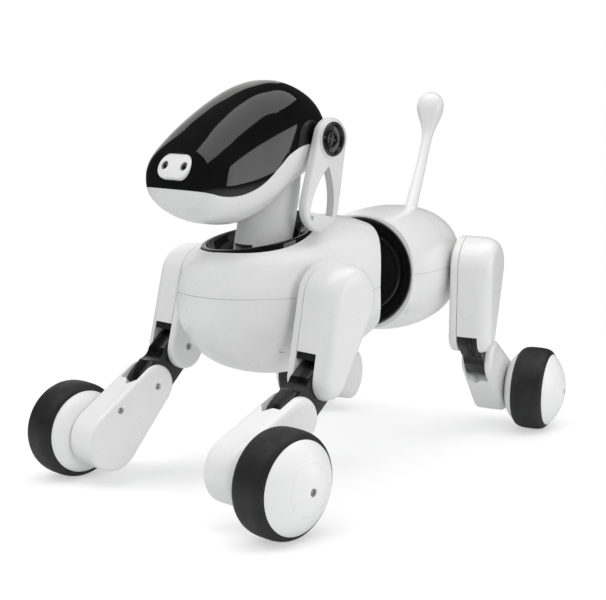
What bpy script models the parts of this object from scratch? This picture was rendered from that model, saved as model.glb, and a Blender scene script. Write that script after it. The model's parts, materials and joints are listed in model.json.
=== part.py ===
"""Robot dog: two shelled body halves on a waist pivot, a nodding head and four wheeled legs.

Lengths below are in millimetres and are turned into metres when a mesh is made.
Body frame: +X towards the nose, +Y to the dog's left, +Z up, floor at z = 0.
"""
import bpy
import bmesh
from math import acos, atan2, cos, degrees, hypot, pi, radians, sin, sqrt
from mathutils import Matrix, Vector

MM = 0.001
GAP = 0.3                    # clearance between neighbouring pieces
WALL = 2.2                   # moulded shell thickness

# stance
BODY_ROLL = -2.0             # degrees, left side low
BODY_SHIFT = -3.5            # sideways, so that the roll leaves the chest over its wheels
WAIST_X = -20.0              # vertical waist axis
WAIST_YAW = 18.2             # degrees, hindquarters swung to the right
WAIST_Z = 123.0              # centre of the round waist mouths
WAIST_R = 38.0
FRONT_SEAM_Z = 120.5
REAR_SEAM_Z = 124.0

# legs
HIP_FRONT = (64.0, 121.5)    # x, z of the front hip axis
HIP_REAR = (-100.0, 124.5)
LEG_Y = 61.5                 # middle plane of thigh, link and shin
THIGH, LINK, SHIN = 47.2, 31.0, 43.5
HIP_R, KNEE_R, ANKLE_R, AXLE_R = 21.0, 12.8, 13.4, 19.3
LEG_IN, LEG_OUT = -14.3, 14.5            # faces of the thigh, outward positive
SLOT_IN, SLOT_OUT = -8.5, 6.5            # the gap that the knee link fills
SHIN_IN, SHIN_OUT = -11.2, 11.4

# wheels
WHEEL_Y = 92.7
WHEEL_R = 30.0
TYRE_HALF = 11.3
RIM_R = 26.2
DOME = 11.0
WHEEL_SIDES = 30

# head
NECK_PIVOT = (68.5, 142.0)
HEAD_PIVOT = (54.0, 191.0)
EAR_PIVOT = (45.0, 33.8, 212.0)
EAR_LEAN = 11.0
NOSE_CENTRE = (136.4, 195.4)
NOSE_TILT = 27.0
COLLAR_X, COLLAR_A, COLLAR_B = 68.5, 40.0, 28.5
JAW_LINE = [(20, 210), (57, 209), (73, 204), (82, 197), (92, 188.5), (101, 183.5), (113, 180.3),
            (126, 180), (137, 182.5), (150, 184)]      # x, z of the joint between visor and jaw

# tail, and what the underside of the rear body holds
TAIL_BASE = (-127.0, 0.0, 158.5)
TAIL_ROWS = [(5.5, -6.5, 4.8), (-3.5, 7, 4.4), (-14, 23.5, 3.9), (-23.5, 40, 3.6), (-30.3, 54, 4.0),
             (-33, 62, 5.9), (-34.2, 69.5, 8.8), (-34.6, 76.5, 10.0), (-34.6, 82, 8.6),
             (-34.6, 85.3, 5.4), (-34.6, 86.4, 2.2)]     # x, z, radius from the base
BUTTON = (-118.0, 82.3)      # x, z
BUTTON_R = 5.5
PORT = (-96.0, 79.4)

# egg-like shells: x, lowest z, highest z, half width
CHEST_STATIONS = [(-20, 87.3, 158.7, 35.5), (-6, 80.5, 162.0, 40.0), (12, 74.5, 163.8, 42.8),
                  (35, 69.8, 163.0, 43.9), (60, 68.3, 160.0, 43.8), (82, 71.8, 155.5, 40.2),
                  (98, 78.5, 150.5, 34.0), (110, 88, 144.5, 26.5), (117, 98, 138.5, 18.5),
                  (120, 108, 131, 10.0)]
REAR_STATIONS = [(-31.5, 85, 161, 38.0), (-48, 82.3, 162.3, 41.3), (-68, 79.8, 163.6, 43.4),
                 (-90, 78.8, 164.4, 43.9), (-112, 80.3, 163.2, 43.4), (-130, 85.8, 158.8, 38.5),
                 (-142, 94, 151.8, 31.0), (-149, 103.3, 144.6, 21.5), (-152, 112, 136.3, 12.0)]
HEAD_STATIONS = [(24.3, 204, 215.4, 8.3), (27.3, 200.3, 221.7, 14.3), (34.3, 195, 229.9, 21.4),
                 (46.3, 189.2, 240.1, 27.0), (64.3, 179, 245.7, 30.0), (81.3, 167.8, 242.5, 30.8),
                 (98.3, 162, 234.3, 30.6), (114, 162, 223.6, 30.9), (125, 165, 213.8, 31.0),
                 (132.5, 170.0, 205.5, 29.0), (136.3, 176.4, 198.0, 24.0), (137.8, 181.6, 192, 16.0)]
SEGMENTS = 28                # points round a shell section


# ---------------------------------------------------------------- materials and objects
def material(name, colour, roughness, metallic=0.0):
    mat = bpy.data.materials.new(name)
    mat.use_nodes = True
    shader = mat.node_tree.nodes["Principled BSDF"]
    shader.inputs["Base Color"].default_value = (*colour, 1.0)
    shader.inputs["Roughness"].default_value = roughness
    shader.inputs["Metallic"].default_value = metallic
    return mat


def white(name):
    return material(name + "_mat", (0.86, 0.86, 0.85), 0.35)


def black(name):
    return material(name + "_mat", (0.012, 0.012, 0.013), 0.2)


def grey(name):
    return material(name + "_mat", (0.08, 0.08, 0.085), 0.5)


def make_object(name, bm, mat, parent=None, place=(0, 0, 0)):
    """Turn a millimetre bmesh into a metre object with its faces pointing out."""
    bmesh.ops.remove_doubles(bm, verts=bm.verts, dist=1e-4)
    bmesh.ops.recalc_face_normals(bm, faces=bm.faces)
    bmesh.ops.scale(bm, vec=(MM, MM, MM), verts=bm.verts)
    mesh = bpy.data.meshes.new(name)
    bm.to_mesh(mesh)
    bm.free()
    mesh.shade_smooth()
    mesh.set_sharp_from_angle(angle=radians(35))
    if mat:
        mesh.materials.append(mat)
    obj = bpy.data.objects.new(name, mesh)
    bpy.context.collection.objects.link(obj)
    obj.location = Vector(place) * MM
    obj.parent = parent
    return obj


def make_empty(name, place=(0, 0, 0), rotation=(0, 0, 0), parent=None):
    empty = bpy.data.objects.new(name, None)
    bpy.context.collection.objects.link(empty)
    empty.location = Vector(place) * MM
    empty.rotation_euler = [radians(a) for a in rotation]
    empty.parent = parent
    return empty


def cutter(bm, target, operation="DIFFERENCE"):
    """Cut or join the target with a helper solid that shares its parent and place."""
    tool = make_object(target.name + "_tool", bm, None, target.parent,
                       target.location / MM)
    tool.hide_render = True
    tool.display_type = "WIRE"
    mod = target.modifiers.new(operation.lower(), "BOOLEAN")
    mod.operation = operation
    mod.solver = "EXACT"
    mod.object = tool
    return tool


# ---------------------------------------------------------------- mesh builders
def loft(rings, closed=False):
    """Skin a list of equal rings; closed joins the last to the first, else both ends are capped."""
    bm = bmesh.new()
    made = [[bm.verts.new(p) for p in ring] for ring in rings]
    n = len(made[0])
    pairs = list(zip(made, made[1:]))
    if closed:
        pairs.append((made[-1], made[0]))
    for a, b in pairs:
        for i in range(n):
            j = (i + 1) % n
            bm.faces.new((a[i], a[j], b[j], b[i]))
    if not closed:
        for ring in (made[0], made[-1]):
            if len(ring) > 2:
                bm.faces.new(ring)
    return bm


def box(x0, x1, y0, y1, z0, z1, bevel=0.0):
    bm = bmesh.new()
    bmesh.ops.create_cube(bm, size=1.0)
    bmesh.ops.scale(bm, vec=(x1 - x0, y1 - y0, z1 - z0), verts=bm.verts)
    bmesh.ops.translate(bm, vec=((x0 + x1) / 2, (y0 + y1) / 2, (z0 + z1) / 2), verts=bm.verts)
    if bevel:
        bmesh.ops.bevel(bm, geom=bm.edges[:], offset=bevel, segments=1, affect="EDGES")
    return bm


def turned(profile, axis="Y", centre=(0, 0, 0), count=24):
    """Closed solid of revolution; profile is a list of (radius, distance along the axis)."""
    rings = []
    for radius, along in profile:
        ring = []
        for k in range(count):
            c, s = radius * cos(2 * pi * k / count), radius * sin(2 * pi * k / count)
            local = {"X": (along, c, s), "Y": (c, along, s), "Z": (c, s, along)}[axis]
            ring.append(Vector(local) + Vector(centre))
        rings.append(ring)
    return loft(rings)


def turned_ring(profile, axis="Y", centre=(0, 0, 0), count=24):
    """Ring-shaped solid of revolution from a closed profile that stays off the axis."""
    bm = turned(profile, axis, centre, count)
    caps = [f for f in bm.faces if len(f.verts) == count]
    bmesh.ops.delete(bm, geom=caps, context="FACES_ONLY")
    loops = [[v for v in bm.verts][i:i + count] for i in (0, len(bm.verts) - count)]
    for i in range(count):
        j = (i + 1) % count
        bm.faces.new((loops[1][i], loops[1][j], loops[0][j], loops[0][i]))
    return bm


def moved(bm, offset=(0, 0, 0), turn=0.0, axis="Y"):
    """Turn a bmesh by some degrees about an axis through its origin, then shift it."""
    bmesh.ops.rotate(bm, matrix=Matrix.Rotation(radians(turn), 3, axis), verts=bm.verts)
    bmesh.ops.translate(bm, vec=offset, verts=bm.verts)
    return bm


def smooth_rows(rows, steps):
    """Catmull-Rom curve through rows of equal length."""
    rows = [Vector(row) for row in rows]
    ext = [2 * rows[0] - rows[1]] + rows + [2 * rows[-1] - rows[-2]]
    out = []
    for i in range(1, len(ext) - 2):
        p0, p1, p2, p3 = ext[i - 1:i + 3]
        for s in range(steps):
            t = s / steps
            out.append(0.5 * (2 * p1 + (p2 - p0) * t + (2 * p0 - 5 * p1 + 4 * p2 - p3) * t * t
                              + (3 * p1 - p0 - 3 * p2 + p3) * t ** 3))
    out.append(rows[-1])
    return out


def super_ring(x, low, high, half, power=2.3, count=SEGMENTS):
    """Rounded section across the body at x."""
    mid, tall = (low + high) / 2, (high - low) / 2
    ring = []
    for k in range(count):
        c, s = cos(2 * pi * (k + 0.5) / count), sin(2 * pi * (k + 0.5) / count)
        y = half * (abs(c) ** (2 / power)) * (1 if c > 0 else -1)
        z = tall * (abs(s) ** (2 / power)) * (1 if s > 0 else -1)
        ring.append((x, y, mid + z))
    return ring


def egg(stations, inset=0.0, steps=1, power=2.3):
    """Closed shell body through its stations, optionally shrunk by a wall thickness."""
    centre = (stations[0][0] + stations[-1][0]) / 2
    half_length = abs(stations[0][0] - stations[-1][0]) / 2
    shrink = (half_length - inset) / half_length
    rings = []
    for x, low, high, half in smooth_rows(stations, steps):
        middle, tall = (low + high) / 2, (high - low) / 2
        tall, half = max(tall - inset, 1.5), max(half - inset, 1.5)
        rings.append(super_ring(centre + (x - centre) * shrink, middle - tall, middle + tall, half, power))
    return loft(rings)


def two_circle_outline(r_top, r_low, length, inset=0.0, steps=9):
    """Outline (x, z) of the convex hull of a circle at 0 and one at -length."""
    r0, r1 = r_top - inset, r_low - inset
    lean = acos((r_low - r_top) / length) - pi / 2      # tilt of the two straight flanks
    points = []
    for k in range(steps + 1):
        a = -lean + (pi + 2 * lean) * k / steps
        points.append((r0 * cos(a), r0 * sin(a)))
    for k in range(steps + 1):
        a = pi + lean + (pi - 2 * lean) * k / steps
        points.append((r1 * cos(a), -length + r1 * sin(a)))
    return points


def leg_slab(r_top, r_low, length, layers, steps=9):
    """Solid across the leg: layers are (y, inset) pairs of a two-circle outline."""
    rings = []
    for y, inset in layers:
        outline = two_circle_outline(r_top, r_low, length, inset, steps)
        rings.append([(x, y, z) for x, z in outline])
    return loft(rings)


def mirror_side(bm, side):
    """Leg and ear pieces are drawn for the left side; the right side is their mirror image."""
    if side < 0:
        bmesh.ops.scale(bm, vec=(1, -1, 1), verts=bm.verts)
    return bm


# ---------------------------------------------------------------- front body
def shell_pair(upper_name, lower_name, stations, seam_z, parent, cuts):
    """Two half shells of one hollow egg, split at the seam height; cuts are bmesh makers."""
    x0, x1 = sorted((stations[0][0] - 9, stations[-1][0] + 9))
    for name, low, high in ((upper_name, seam_z + GAP / 2, 300), (lower_name, 0, seam_z - GAP / 2)):
        shell = make_object(name, egg(stations), white(name), parent)
        cutter(egg(stations, inset=WALL), shell)
        for cut in cuts:
            cutter(cut(), shell)
        cutter(box(x0 - 20, x1 + 20, -80, 80, low, high), shell, "INTERSECT")


def front_mouth():
    """Rear opening of the chest: a level cylinder scoops the sides forwards."""
    side_x, radius = 1.5, 40.0
    return turned([(radius, -60), (radius, 60)], "Y", (side_x - radius, 0, WAIST_Z), 40)


def collar_hole():
    rings = [collar_ellipse(0.0, z) for z in (125, 190)]
    return loft(rings)


def collar_ellipse(inset, z=None, count=32):
    """Neck collar outline; with no z the points lie on the collar's sloping rim line."""
    ring = []
    for k in range(count):
        a = 2 * pi * k / count
        x = COLLAR_X + (COLLAR_A - inset) * cos(a)
        y = (COLLAR_B - inset) * sin(a)
        back = max(0.0, -cos(a)) ** 4
        height = 145.2 + 0.165 * (108 - x) + 7.5 * back if z is None else z
        ring.append(Vector((x, y, height)))
    return ring


def hip_holes(hip):
    def make():
        return turned([(5.0, -60), (5.0, 60)], "Y", (hip[0], 0, hip[1]), 16)
    return make


def make_chest(root):
    shell_pair("chest_upper_shell", "chest_lower_shell", CHEST_STATIONS, FRONT_SEAM_Z, root,
               [front_mouth, collar_hole, hip_holes(HIP_FRONT)])
    make_collar(root)
    frame = make_object("chest_frame", box(-4, 92, -17, 17, 92, 96, 0.8), grey("chest_frame"), root)
    cutter(box(14, 40, -11, 11, 80, 110), frame)
    make_object("battery_pack", box(12, 78, -15, 15, 80, 91.6, 2.0), grey("battery_pack"), root)
    board = material("main_board_mat", (0.02, 0.16, 0.07), 0.45)
    make_object("main_board", box(42, 90, -16, 16, 97, 98.6), board, root)
    for side, word in ((1, "left"), (-1, "right")):
        make_servo("shoulder_servo_" + word, HIP_FRONT, side, root, -9)
    make_waist_servo(root)


def make_collar(root):
    """Glossy ring round the neck, higher behind, sloping down to its inner edge."""
    profile = [(GAP, -6.0), (GAP, 0.4), (1.6, 1.3), (3.4, 1.1), (9.5, -4.5), (9.5, -8.0), (6.5, -9.5)]
    rings = []
    for inset, lift in profile:
        rings.append([p + Vector((0, 0, lift)) for p in collar_ellipse(inset)])
    make_object("neck_collar", loft(rings, closed=True), black("neck_collar"), root)


def make_servo(name, hip, side, parent, ahead):
    """Gear motor inside the shell; its output shaft passes through the shell into the thigh."""
    x, z = hip
    body = box(x + ahead - 15, x + ahead + 15, 19, 37, z - 10, z + 10, 1.0)
    servo = make_object(name, mirror_side(body, side), grey(name), parent)
    shaft = turned([(6.8, 36), (6.8, 38.2), (4.0, 38.2), (4.0, LEG_Y + SLOT_IN - 1.0)], "Y", (x, 0, z), 20)
    cutter(mirror_side(shaft, side), servo, "UNION")


def make_waist_servo(root):
    body = box(-8, 24, -11, 11, WAIST_Z - 12, WAIST_Z + 12, 1.0)
    servo = make_object("waist_servo", body, grey("waist_servo"), root)
    arm = box(WAIST_X - 3, -6, -3.5, 3.5, WAIST_Z + 8, WAIST_Z + 12)
    arm_low = box(WAIST_X - 3, -6, -3.5, 3.5, WAIST_Z - 12, WAIST_Z - 8)
    pin = turned([(3.5, WAIST_Z - 12), (3.5, WAIST_Z + 12)], "Z", (WAIST_X, 0, 0), 20)
    for piece in (arm, arm_low, pin):
        cutter(piece, servo, "UNION")


# ---------------------------------------------------------------- rear body
def rear_mouth():
    return turned([(WAIST_R - WALL, -60), (WAIST_R - WALL, -28)], "X", (0, 0, WAIST_Z), 32)


def tail_hole():
    root, slope = tail_row(0), tail_row(1) - tail_row(0)
    ends = (root - 0.6 * slope, root + 1.8 * slope)
    return moved(loft([tail_ring(end, slope, 6.9, 24) for end in ends]), TAIL_BASE)


def button_hole():
    return turned([(BUTTON_R + GAP, 60), (BUTTON_R + GAP, 110)], "Z", (BUTTON[0], 0, 0), 24)


def port_hole():
    return box(PORT[0] - 3.4, PORT[0] + 3.4, -5.3, 5.3, 60, 110)


def make_rear(rear):
    shell_pair("rear_upper_shell", "rear_lower_shell", REAR_STATIONS, REAR_SEAM_Z, rear,
               [rear_mouth, hip_holes(HIP_REAR), tail_hole, button_hole, port_hole])
    make_waist_ring(rear)
    for side, word in ((1, "left"), (-1, "right")):
        make_servo("hip_servo_" + word, HIP_REAR, side, rear, 5)
    speaker = turned([(14, -66), (14, -62), (9, -56), (9, -52)], "X", (0, 0, 108), 24)
    make_object("speaker", speaker, grey("speaker"), rear)
    socket = box(PORT[0] - 3.1, PORT[0] + 3.1, -5, 5, PORT[1], PORT[1] + 6.9, 0.3)
    port = make_object("charging_port", socket, grey("charging_port"), rear)
    cutter(box(PORT[0] - 1.6, PORT[0] + 1.6, -4.0, 4.0, 60, PORT[1] + 5.4), port)
    slide = make_empty("button_slide", (BUTTON[0], 0, BUTTON[1]), (0, 0, 0), rear)
    cap = turned([(BUTTON_R - 0.8, -3.5), (BUTTON_R, -2.7), (BUTTON_R, 4.0), (3.0, 4.0), (3.0, 9.0)],
                 "Z", (0, 0, 0), 24)
    make_object("power_button", cap, black("power_button"), slide)


def make_waist_ring(rear):
    """Dished black ring in the mouth of the rear body, and the drum that turns on the waist pin."""
    outer, inner = WAIST_R - WALL - GAP, 28.2
    x = REAR_STATIONS[0][0]
    profile = [(outer, x - 12), (outer, x - 0.4), (outer - 1.6, x - 0.2), (inner, x - 7), (inner, x - 12)]
    ring = turned_ring(profile, "X", (0, 0, WAIST_Z), 32)
    make_object("waist_ring", ring, black("waist_ring"), rear)
    face = x - 4.5
    drum = turned([(25.5, face - 8), (27.6, face - 6), (27.6, face - 1.5), (26.2, face), (20, face - 2.5)],
                  "X", (0, 0, WAIST_Z), 32)
    drum_obj = make_object("waist_drum", drum, black("waist_drum"), rear)
    tongue = box(x - 10, WAIST_X, -5.0, 5.0, WAIST_Z - 6.5, WAIST_Z + 6.5)
    eye = turned([(7.0, WAIST_Z - 6.5), (7.0, WAIST_Z + 6.5)], "Z", (WAIST_X, 0, 0), 24)
    cutter(tongue, drum_obj, "UNION")
    cutter(eye, drum_obj, "UNION")
    cutter(turned([(3.9, WAIST_Z - 30), (3.9, WAIST_Z + 30)], "Z", (WAIST_X, 0, 0), 20), drum_obj)


def make_tail(rear):
    """Thin curved stalk that swells into a drop, wagging about a fore-and-aft axis at its root."""
    pivot = make_empty("tail_pivot", TAIL_BASE, (0, 0, 0), rear)
    rows = smooth_rows(TAIL_ROWS, 2)
    rings = []
    for i, row in enumerate(rows):
        before, after = rows[max(i - 1, 0)], rows[min(i + 1, len(rows) - 1)]
        slope = Vector((after[0] - before[0], 0, after[1] - before[1]))
        rings.append(tail_ring(Vector((row[0], 0, row[1])), slope, row[2]))
    make_object("tail", loft(rings), white("tail"), pivot)


def tail_row(index):
    x, z, _ = TAIL_ROWS[index]
    return Vector((x, 0, z))


def tail_ring(centre, slope, radius, count=14):
    slope = slope.normalized()
    across = Vector((0, 1, 0))
    other = slope.cross(across)
    return [centre + radius * (cos(2 * pi * k / count) * across + sin(2 * pi * k / count) * other)
            for k in range(count)]


# ---------------------------------------------------------------- neck and head
def make_neck(root):
    pivot = make_empty("neck_pivot", (NECK_PIVOT[0], 0, NECK_PIVOT[1]), (0, 0, 0), root)
    height = HEAD_PIVOT[1] - NECK_PIVOT[1]
    lean = HEAD_PIVOT[0] - NECK_PIVOT[0]
    rings = []
    for i in range(9):
        t = i / 8
        z = -10 + (height + 17) * t
        bulge = 1 - (0.22 if t < 0.375 else 0.1) * abs(2 * t - 0.75) ** 2.5
        rings.append([(lean * t + 18.5 * bulge * cos(2 * pi * k / 24), 16.5 * bulge * sin(2 * pi * k / 24), z)
                      for k in range(24)])
    neck = make_object("neck_shell", loft(rings), white("neck_shell"), pivot)
    cutter(box(-40, 40, -7.5, 7.5, -30, 6.5), neck)
    cutter(turned([(3.2, -30), (3.2, 30)], "Y", (0, 0, 0), 20), neck)
    cutter(box(lean - 30, lean + 30, -8.5, 8.5, height - 14, height + 30), neck)
    cutter(turned([(3.2, -30), (3.2, 30)], "Y", (lean, 0, height), 20), neck)
    make_neck_base(root)
    return pivot


def make_neck_base(root):
    """Servo between the neck's two cheeks; its cross shaft is the neck's tilt axis."""
    x, z = NECK_PIVOT
    servo = make_object("neck_servo", box(x - 9, x + 9, -7, 7, z - 36, z + 3, 0.8), grey("neck_servo"), root)
    shaft = turned([(2.8, -14.5), (2.8, 14.5)], "Y", (x, 0, z), 20)
    cutter(shaft, servo, "UNION")


def head_seam(below):
    """Solid below (or above) the S-shaped joint line between the jaw and the visor."""
    offset = -GAP / 2 if below else GAP / 2
    line = [(x, z + offset) for x, z in smooth_rows(JAW_LINE, 2)]
    far = 100 if below else 300
    outline = line + [(150, far), (20, far)]
    return loft([[(x, y, z) for x, z in outline] for y in (-70, 70)])


def ear_bore():
    return turned([(4.6, -60), (4.6, 60)], "Y", (EAR_PIVOT[0], 0, EAR_PIVOT[2]), 20)


def make_head(neck):
    dx, dz = HEAD_PIVOT[0] - NECK_PIVOT[0], HEAD_PIVOT[1] - NECK_PIVOT[1]
    pivot = make_empty("head_pivot", (dx, 0, dz), (0, 0, 0), neck)
    shift = (-HEAD_PIVOT[0], 0, -HEAD_PIVOT[1])
    for name, below in (("head_visor", False), ("head_jaw", True)):
        paint = white(name) if below else black(name)
        shell = make_object(name, moved(egg(HEAD_STATIONS, power=2.5), shift), paint, pivot)
        cutter(moved(egg(HEAD_STATIONS, inset=WALL, power=2.5), shift), shell)
        cutter(moved(ear_bore(), shift), shell)
        cutter(moved(head_seam(below), shift), shell, "INTERSECT")
        if below:
            cutter(box(-25, 28, -19.5, 19.5, -60, 8), shell)
        else:
            cutter(nose_pill(GAP, -8, 8), shell)
    make_nose(pivot)
    servo = make_object("head_servo", box(-9, 9, -7.5, 7.5, -8, 22, 1.0), grey("head_servo"), pivot)
    cutter(turned([(2.8, -15.5), (2.8, 15.5)], "Y", (0, 0, 0), 20), servo, "UNION")
    bracket = box(-7, 7, -7.5, 7.5, 20, 40)
    cutter(bracket, servo, "UNION")
    for side, word in ((1, "left"), (-1, "right")):
        make_ear(side, word, pivot)


def nose_pill(grow, back, front, width=27.0, height=15.4):
    """Rounded plate on the sloping snout, from back to front along its normal."""
    r = height / 2 + grow
    half = width / 2 - height / 2
    rings = []
    for depth in (back, front):
        ring = []
        for k in range(24):
            a = 2 * pi * k / 24
            ring.append((depth, half * (1 if cos(a) > 0 else -1) + r * cos(a), r * sin(a)))
        rings.append(ring)
    return moved(loft(rings), (NOSE_CENTRE[0] - HEAD_PIVOT[0], 0, NOSE_CENTRE[1] - HEAD_PIVOT[1]), -NOSE_TILT)


def make_nose(pivot):
    plate = make_object("nose_plate", nose_pill(0, -3.0, 0.6), white("nose_plate"), pivot)
    eyes = []
    for side, word in ((1, "left"), (-1, "right")):
        centre = (NOSE_CENTRE[0] - HEAD_PIVOT[0], 0, NOSE_CENTRE[1] - HEAD_PIVOT[1])
        hole = moved(turned([(2.5, -9), (2.5, 9)], "X", (0, 8 * side, 0), 20), centre, -NOSE_TILT)
        cutter(hole, plate)
        lens = turned([(2.2, -3), (2.2, 0.2), (1.2, 0.9)], "X", (0, 8 * side, 0), 20)
        eyes.append(make_object("eye_lens_" + word, moved(lens, centre, -NOSE_TILT), black("eye_" + word), pivot))


def make_ear(side, word, head):
    """Flat loop plate hanging from a round pivot on the side of the head."""
    x, y, z = EAR_PIVOT
    place = (x - HEAD_PIVOT[0], side * y, z - HEAD_PIVOT[1])
    frame = make_empty("ear_pivot_" + word, place, (0, -EAR_LEAN, 0), head)
    plate = leg_slab(12.8, 15.3, 40.3, [(-2.8, 1.2), (-1.8, 0), (1.8, 0), (2.8, 1.2)], 10)
    ear = make_object("ear_" + word, mirror_side(plate, side), white("ear_" + word), frame)
    cutter(mirror_side(ear_loop(), side), ear)
    cutter(turned([(10.3, -6), (10.3, 6)], "Y", (0, 0, 0), 32), ear)
    cap = turned([(4.0, -8.5), (4.0, -3.2), (9.9, -3.2), (9.9, 2.2), (9.0, 3.0), (5.0, 2.0)], "Y", (0, 0, 0), 32)
    make_object("ear_cap_" + word, mirror_side(cap, side), black("ear_cap_" + word), frame)


def ear_loop():
    """Opening of the ear: a pointed arch over a flat sill."""
    sill, crown, half = -45.0, -16.0, 10.0
    outline = []
    for k in range(9):
        t = k / 8
        outline.append((half * (1 - t ** 2.2) - 0.3, sill + (crown - sill) * t))
    for k in range(7, -1, -1):
        t = k / 8
        outline.append((-half * (1 - t ** 2.2) - 0.3, sill + (crown - sill) * t))
    return loft([[(x, y, z) for x, z in outline] for y in (-9, 9)])


# ---------------------------------------------------------------- legs
def leg_angles(hip, axle, shin_angle, knee_side):
    """Angles from straight down, forwards positive, of thigh, link and shin for an axle position."""
    ankle = (axle[0] - SHIN * sin(shin_angle), axle[1] + SHIN * cos(shin_angle))
    dx, dz = ankle[0] - hip[0], hip[1] - ankle[1]
    reach = hypot(dx, dz)
    bend = acos((reach ** 2 - THIGH ** 2 - LINK ** 2) / (2 * THIGH * LINK))
    line = atan2(dx, dz)
    thigh = line - knee_side * atan2(LINK * sin(bend), THIGH + LINK * cos(bend))
    return thigh, thigh + knee_side * bend, shin_angle


def axle_height(y):
    """Height in the rolled body frame that sets a wheel on the floor."""
    return (WHEEL_R + 0.15 - y * sin(radians(BODY_ROLL))) / cos(radians(BODY_ROLL))


def make_leg(word, side, hip, axle, shin_angle, knee_side, parent):
    thigh, link, shin = leg_angles(hip, axle, radians(shin_angle), knee_side)
    hip_frame = make_empty("hip_" + word, (hip[0], side * LEG_Y, hip[1]), (0, -degrees(thigh), 0), parent)
    knee = make_empty("knee_" + word, (0, 0, -THIGH), (0, -degrees(link - thigh), 0), hip_frame)
    ankle = make_empty("ankle_" + word, (0, 0, -LINK), (0, -degrees(shin - link), 0), knee)
    axle_frame = make_empty("axle_" + word, (0, 0, -SHIN), (0, shin_angle, 0), ankle)
    make_thigh(word, side, hip_frame)
    make_link(word, side, knee)
    make_shin(word, side, ankle)
    make_wheel(word, side, axle_frame)


def make_thigh(word, side, frame):
    dome = [(SLOT_IN + GAP, 0.0), (2.0, 0.0), (8.0, 0.6), (11.8, 2.4), (13.8, 5.2), (LEG_OUT, 8.8)]
    outer = make_object("thigh_outer_" + word, mirror_side(leg_slab(HIP_R, KNEE_R, THIGH, dome), side),
                        white("thigh_outer_" + word), frame)
    hollow = leg_slab(HIP_R - WALL, KNEE_R - WALL, THIGH - 20, [(-20, 0.0), (9.0, 0.8), (11.0, 3.0)])
    cutter(mirror_side(hollow, side), outer)
    slot_top = -THIGH + KNEE_R - 1.0
    if "rear" in word:                   # the hind thigh keeps a wall in front of its knee
        cutter(mirror_side(box(-40, 2, -30, SLOT_OUT, -120, slot_top), side), outer)
        socket = turned([(KNEE_R - 2.0, -30), (KNEE_R - 2.0, SLOT_OUT)], "Y", (0, 0, -THIGH), 24)
        cutter(mirror_side(socket, side), outer)
        cutter(mirror_side(box(-40, 40, -30, SLOT_OUT, -120, -THIGH - KNEE_R * 0.15), side), outer)
    else:
        cutter(mirror_side(box(-40, 40, -30, SLOT_OUT, -120, slot_top), side), outer)
    shaped = [(LEG_IN, 3.0), (LEG_IN + 1.0, 1.2), (LEG_IN + 2.6, 0.0), (SLOT_IN, 0.0)]
    inner = make_object("thigh_inner_" + word, mirror_side(leg_slab(HIP_R, KNEE_R, THIGH, shaped), side),
                        white("thigh_inner_" + word), frame)
    boss = turned([(12.0, LEG_IN - 2.4), (12.0, LEG_IN + 1.0)], "Y", (0, 0, 0), 24)
    cutter(mirror_side(boss, side), inner, "UNION")
    cutter(turned([(4.3, -30), (4.3, 30)], "Y", (0, 0, 0), 20), inner)
    body = box(-9, 9, SLOT_IN + 3.0, 7.5, -31, -9, 1.0)
    make_object("knee_servo_" + word, mirror_side(body, side), grey("knee_servo_" + word), frame)


def make_link(word, side, frame):
    layers = [(SLOT_IN + GAP, 1.0), (SLOT_IN + 1.3, 0.0), (SLOT_OUT - 1.3, 0.0), (SLOT_OUT - GAP, 1.0)]
    slab = leg_slab(KNEE_R - 2.4, ANKLE_R - 1.4, LINK, layers, 8)
    link = make_object("knee_link_" + word, mirror_side(slab, side), black("knee_link_" + word), frame)
    waist = turned([(8.0, -30), (8.0, 30)], "Y", (16.5, 0, -LINK / 2), 20)
    cutter(waist, link)


def make_shin(word, side, frame):
    edge = [(SHIN_IN, 3.2), (SHIN_IN + 1.0, 1.2), (SHIN_IN + 3.0, 0.0),
            (SHIN_OUT - 4.0, 0.0), (SHIN_OUT - 1.5, 1.2), (SHIN_OUT, 4.2)]
    shin = make_object("shin_shell_" + word, mirror_side(leg_slab(ANKLE_R, AXLE_R, SHIN, edge), side),
                       white("shin_shell_" + word), frame)
    cutter(mirror_side(box(-40, 40, SLOT_IN, SLOT_OUT, -7.6, 40), side), shin)
    room = turned([(ANKLE_R - 0.9, SLOT_IN), (ANKLE_R - 0.9, SLOT_OUT)], "Y", (0, 0, 0), 32)
    cutter(mirror_side(room, side), shin)
    cutter(mirror_side(turned([(3.6, 4), (3.6, 30)], "Y", (0, 0, -SHIN), 20), side), shin)


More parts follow.
